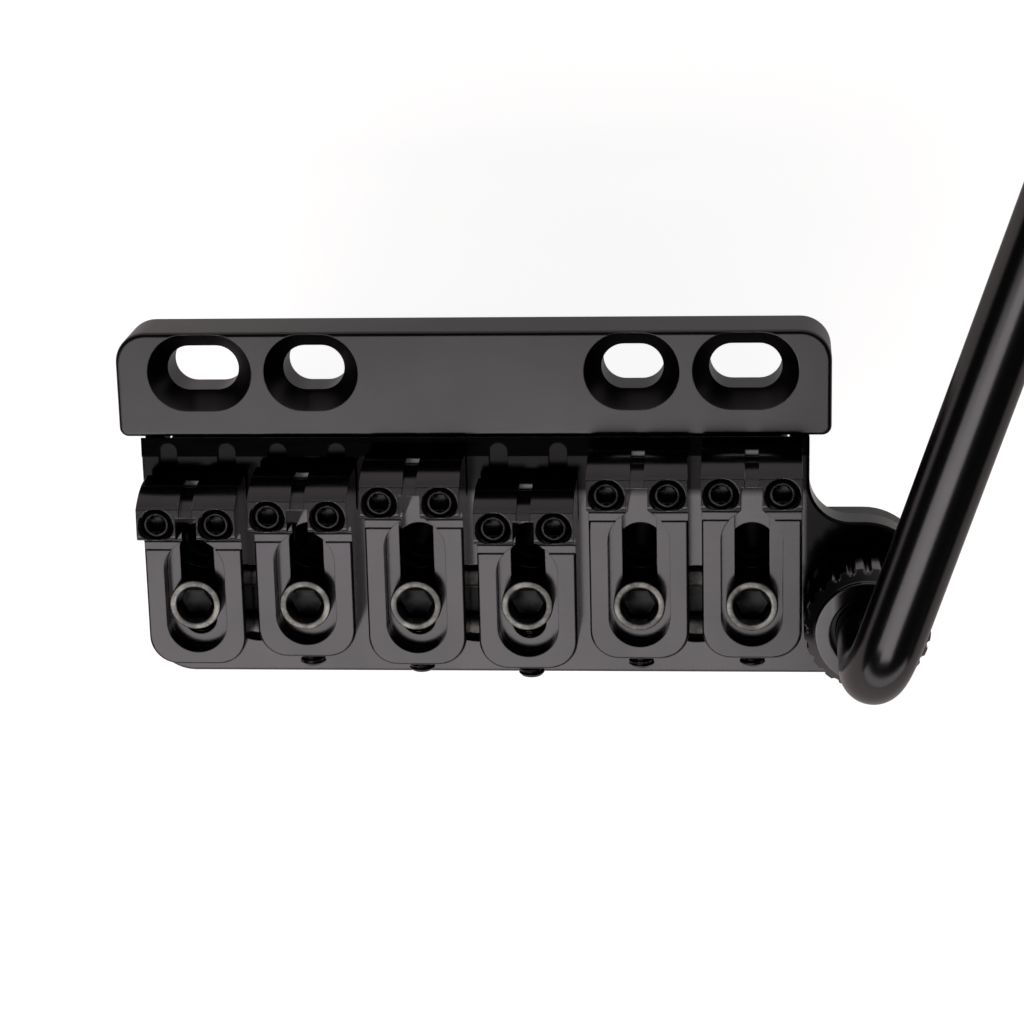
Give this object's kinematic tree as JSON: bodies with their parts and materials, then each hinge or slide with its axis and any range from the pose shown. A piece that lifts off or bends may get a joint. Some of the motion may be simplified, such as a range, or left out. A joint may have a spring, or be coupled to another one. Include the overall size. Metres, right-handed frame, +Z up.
{
  "type": "guitar tremolo bridge",
  "caption": "Black guitar tremolo bridge: a slotted fixed plate, a pivoting base with adjustable saddles, a block below it and a bent arm in a fluted collar.",
  "frame": {"origin": "middle of the screw slots, on the fixed plate's underside, which lies on the guitar's top", "axes": "+X to the treble side, where the arm is; +Y towards the neck; +Z up from the guitar's top"},
  "size_m": [0.1101, 0.1186, 0.0863],
  "materials": {
    "black_plate": "satin black plating",
    "black_saddle": "satin black plating, blasted",
    "black_block": "matt black plating",
    "clamp_screw": "black oxide, rubbed grey on the heads",
    "set_screw": "black oxide",
    "black_screw": "black oxide",
    "black_socket": "satin black plating",
    "black_collar": "satin black plating",
    "black_arm": "gloss black plating",
    "pin_steel": "ground steel",
    "bush_bronze": "bare bronze"
  },
  "bodies": {
    "mounting_plate": {"fixed_plate": "black_plate", "pivot_pins": "pin_steel"},
    "bridge": {"bridge_base": "black_plate", "pivot_bushes": "bush_bronze", "tremolo_block": "black_block", "block_screws": "black_screw", "arm_socket": "black_socket", "intonation_screw_1": "set_screw", "intonation_screw_2": "set_screw", "intonation_screw_3": "set_screw", "intonation_screw_4": "set_screw", "intonation_screw_5": "set_screw", "intonation_screw_6": "set_screw"},
    "arm": {"tremolo_arm": "black_arm"},
    "collar": {"arm_collar": "black_collar"},
    "saddle_1": {"saddle_1": "black_saddle"},
    "clamp_1": {"clamp_screw_1": "clamp_screw"},
    "height_1_bass": {"height_screw_1_bass": "set_screw"},
    "height_1_treble": {"height_screw_1_treble": "set_screw"},
    "saddle_2": {"saddle_2": "black_saddle"},
    "clamp_2": {"clamp_screw_2": "clamp_screw"},
    "height_2_bass": {"height_screw_2_bass": "set_screw"},
    "height_2_treble": {"height_screw_2_treble": "set_screw"},
    "saddle_3": {"saddle_3": "black_saddle"},
    "clamp_3": {"clamp_screw_3": "clamp_screw"},
    "height_3_bass": {"height_screw_3_bass": "set_screw"},
    "height_3_treble": {"height_screw_3_treble": "set_screw"},
    "saddle_4": {"saddle_4": "black_saddle"},
    "clamp_4": {"clamp_screw_4": "clamp_screw"},
    "height_4_bass": {"height_screw_4_bass": "set_screw"},
    "height_4_treble": {"height_screw_4_treble": "set_screw"},
    "saddle_5": {"saddle_5": "black_saddle"},
    "clamp_5": {"clamp_screw_5": "clamp_screw"},
    "height_5_bass": {"height_screw_5_bass": "set_screw"},
    "height_5_treble": {"height_screw_5_treble": "set_screw"},
    "saddle_6": {"saddle_6": "black_saddle"},
    "clamp_6": {"clamp_screw_6": "clamp_screw"},
    "height_6_bass": {"height_screw_6_bass": "set_screw"},
    "height_6_treble": {"height_screw_6_treble": "set_screw"}
  },
  "joints": [
    {"name": "tremolo_pivot", "type": "hinge", "parent": "mounting_plate", "child": "bridge", "pos_m": [0, -0.0043, 0.0032], "axis": [-1, 0, 0], "range_deg": [-2, 18], "stiffness_Nm_per_rad": 12, "springref_deg": 0.26},
    {"name": "arm_swivel", "type": "hinge", "parent": "bridge", "child": "arm", "pos_m": [0.03788, -0.02305, 0.012], "axis": [0, 0, 1], "continuous": true},
    {"name": "collar_turn", "type": "hinge", "parent": "bridge", "child": "collar", "pos_m": [0.03788, -0.02305, 0.01], "axis": [0, 0, 1], "continuous": true},
    {"name": "intonation_1", "type": "slide", "parent": "bridge", "child": "saddle_1", "axis": [0, 1, 0], "range_m": [-0.0015, 0.001]},
    {"name": "clamp_lift_1", "type": "slide", "parent": "bridge", "child": "clamp_1", "axis": [0, 0, 1], "range_m": [0, 0.001]},
    {"name": "height_lift_1_bass", "type": "slide", "parent": "saddle_1", "child": "height_1_bass", "axis": [0, 0, 1], "range_m": [0, 0.0012]},
    {"name": "height_lift_1_treble", "type": "slide", "parent": "saddle_1", "child": "height_1_treble", "axis": [0, 0, 1], "range_m": [0, 0.0012]},
    {"name": "intonation_2", "type": "slide", "parent": "bridge", "child": "saddle_2", "axis": [0, 1, 0], "range_m": [-0.0015, 0.001]},
    {"name": "clamp_lift_2", "type": "slide", "parent": "bridge", "child": "clamp_2", "axis": [0, 0, 1], "range_m": [0, 0.001]},
    {"name": "height_lift_2_bass", "type": "slide", "parent": "saddle_2", "child": "height_2_bass", "axis": [0, 0, 1], "range_m": [0, 0.0012]},
    {"name": "height_lift_2_treble", "type": "slide", "parent": "saddle_2", "child": "height_2_treble", "axis": [0, 0, 1], "range_m": [0, 0.0012]},
    {"name": "intonation_3", "type": "slide", "parent": "bridge", "child": "saddle_3", "axis": [0, 1, 0], "range_m": [-0.0015, 0.001]},
    {"name": "clamp_lift_3", "type": "slide", "parent": "bridge", "child": "clamp_3", "axis": [0, 0, 1], "range_m": [0, 0.001]},
    {"name": "height_lift_3_bass", "type": "slide", "parent": "saddle_3", "child": "height_3_bass", "axis": [0, 0, 1], "range_m": [0, 0.0012]},
    {"name": "height_lift_3_treble", "type": "slide", "parent": "saddle_3", "child": "height_3_treble", "axis": [0, 0, 1], "range_m": [0, 0.0012]},
    {"name": "intonation_4", "type": "slide", "parent": "bridge", "child": "saddle_4", "axis": [0, 1, 0], "range_m": [-0.0015, 0.001]},
    {"name": "clamp_lift_4", "type": "slide", "parent": "bridge", "child": "clamp_4", "axis": [0, 0, 1], "range_m": [0, 0.001]},
    {"name": "height_lift_4_bass", "type": "slide", "parent": "saddle_4", "child": "height_4_bass", "axis": [0, 0, 1], "range_m": [0, 0.0012]},
    {"name": "height_lift_4_treble", "type": "slide", "parent": "saddle_4", "child": "height_4_treble", "axis": [0, 0, 1], "range_m": [0, 0.0012]},
    {"name": "intonation_5", "type": "slide", "parent": "bridge", "child": "saddle_5", "axis": [0, 1, 0], "range_m": [-0.0015, 0.001]},
    {"name": "clamp_lift_5", "type": "slide", "parent": "bridge", "child": "clamp_5", "axis": [0, 0, 1], "range_m": [0, 0.001]},
    {"name": "height_lift_5_bass", "type": "slide", "parent": "saddle_5", "child": "height_5_bass", "axis": [0, 0, 1], "range_m": [0, 0.0012]},
    {"name": "height_lift_5_treble", "type": "slide", "parent": "saddle_5", "child": "height_5_treble", "axis": [0, 0, 1], "range_m": [0, 0.0012]},
    {"name": "intonation_6", "type": "slide", "parent": "bridge", "child": "saddle_6", "axis": [0, 1, 0], "range_m": [-0.0015, 0.001]},
    {"name": "clamp_lift_6", "type": "slide", "parent": "bridge", "child": "clamp_6", "axis": [0, 0, 1], "range_m": [0, 0.001]},
    {"name": "height_lift_6_bass", "type": "slide", "parent": "saddle_6", "child": "height_6_bass", "axis": [0, 0, 1], "range_m": [0, 0.0012]},
    {"name": "height_lift_6_treble", "type": "slide", "parent": "saddle_6", "child": "height_6_treble", "axis": [0, 0, 1], "range_m": [0, 0.0012]}
  ]
}
